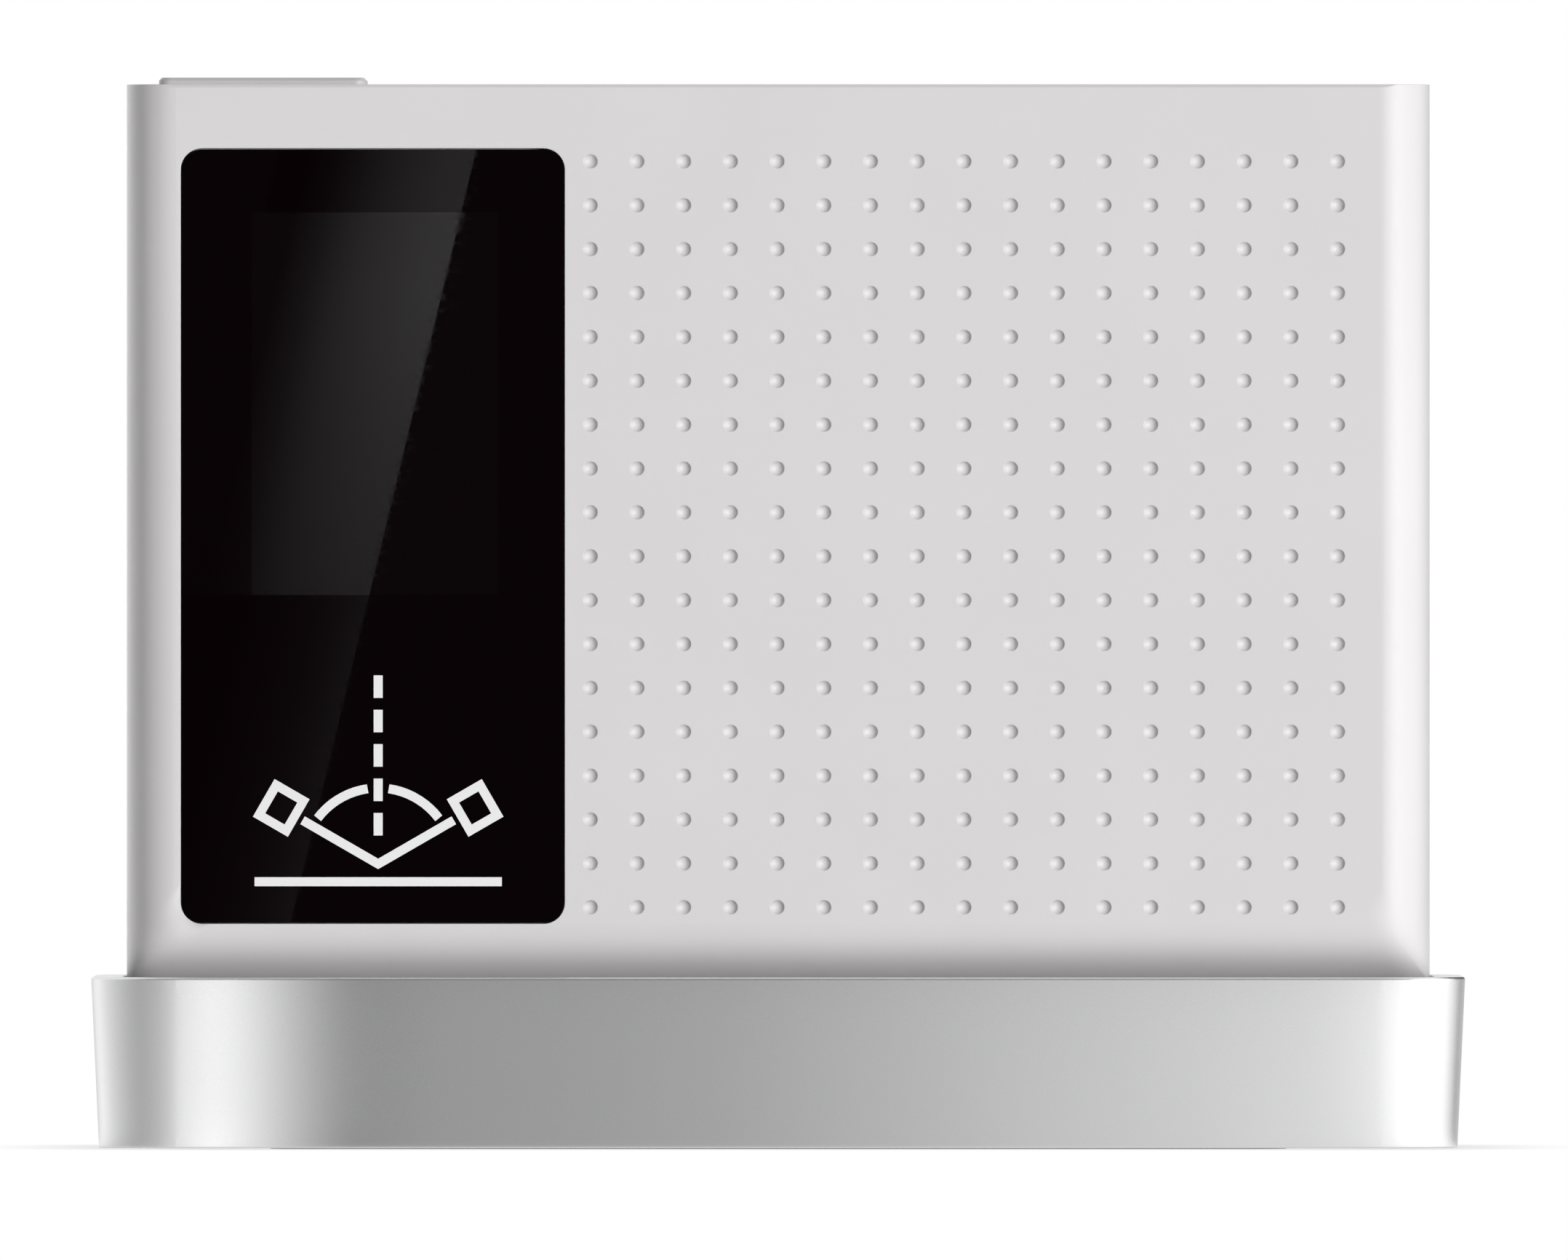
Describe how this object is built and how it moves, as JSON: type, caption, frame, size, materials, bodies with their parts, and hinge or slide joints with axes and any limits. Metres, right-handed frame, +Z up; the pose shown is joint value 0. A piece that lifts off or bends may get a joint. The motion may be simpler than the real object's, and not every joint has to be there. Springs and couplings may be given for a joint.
{
  "type": "gloss meter",
  "caption": "Handheld gloss meter with a black display window and a dotted grip, standing in a satin metal calibration holder that it lifts out of.",
  "frame": {"origin": "on the ground, under the middle of the holder", "axes": "+X to the right of someone facing the display, +Y from the display to the rear, +Z up"},
  "size_m": [0.116, 0.042, 0.0908],
  "materials": {
    "satin_metal": "satin",
    "black_metal": "matt black anodised",
    "case_plastic": "fine matt",
    "key_plastic": "fine matt",
    "dark_plastic": "matt",
    "window_gloss": "high gloss",
    "black_glass": "polished",
    "lens_glass": "polished",
    "lamp_plastic": "clear",
    "grey_rubber": "matt",
    "black_rubber": "matt",
    "steel": "plain",
    "board_green": "satin",
    "connector_white": "matt",
    "flex_amber": "satin",
    "cell_label": "satin",
    "lead_grey": "matt"
  },
  "bodies": {
    "holder": {"holder_shell": "satin_metal", "holder_base": "dark_plastic", "base_mat": "grey_rubber", "tile_pad": "black_rubber", "calibration_tile": "black_glass", "holder_screws": "steel"},
    "meter": {"front_shell": "case_plastic", "rear_shell": "case_plastic", "window_tape": "black_rubber", "display_window": "window_gloss", "display_panel": "black_glass", "display_frame": "dark_plastic", "display_ribbon": "flex_amber", "main_board": "board_green", "board_chips": "dark_plastic", "board_connectors": "connector_white", "board_screws": "steel", "switch_board": "board_green", "switch_body": "dark_plastic", "switch_screws": "steel", "port_board": "board_green", "port_socket": "steel", "port_screws": "steel", "sole_plate": "black_metal", "sole_screws": "steel", "optics_block": "dark_plastic", "source_lens": "lens_glass", "source_ring": "dark_plastic", "source_slit": "steel", "lamp_holder": "dark_plastic", "lamp": "lamp_plastic", "receiver_lens": "lens_glass", "receiver_ring": "dark_plastic", "receiver_slit": "steel", "detector_holder": "dark_plastic", "detector": "steel", "lamp_leads": "lead_grey", "detector_leads": "lead_grey", "battery_cell": "cell_label", "contact_plus": "steel", "contact_minus": "steel", "battery_leads": "lead_grey", "port_leads": "lead_grey", "switch_leads": "lead_grey", "case_screws": "steel"},
    "key": {"measure_key": "key_plastic", "switch_plunger": "dark_plastic"},
    "cover": {"battery_cover": "case_plastic"}
  },
  "joints": [
    {"name": "meter_lift", "type": "slide", "parent": "holder", "child": "meter", "axis": [0, 0, 1], "range_m": [0, 0.06]},
    {"name": "key_press", "type": "slide", "parent": "meter", "child": "key", "axis": [0, 0, -1], "range_m": [0, 0.0004], "stiffness_N_per_m": 1200, "springref_m": -0.0008},
    {"name": "cover_lift", "type": "slide", "parent": "meter", "child": "cover", "axis": [0, 1, 0], "range_m": [0, 0.02]}
  ]
}
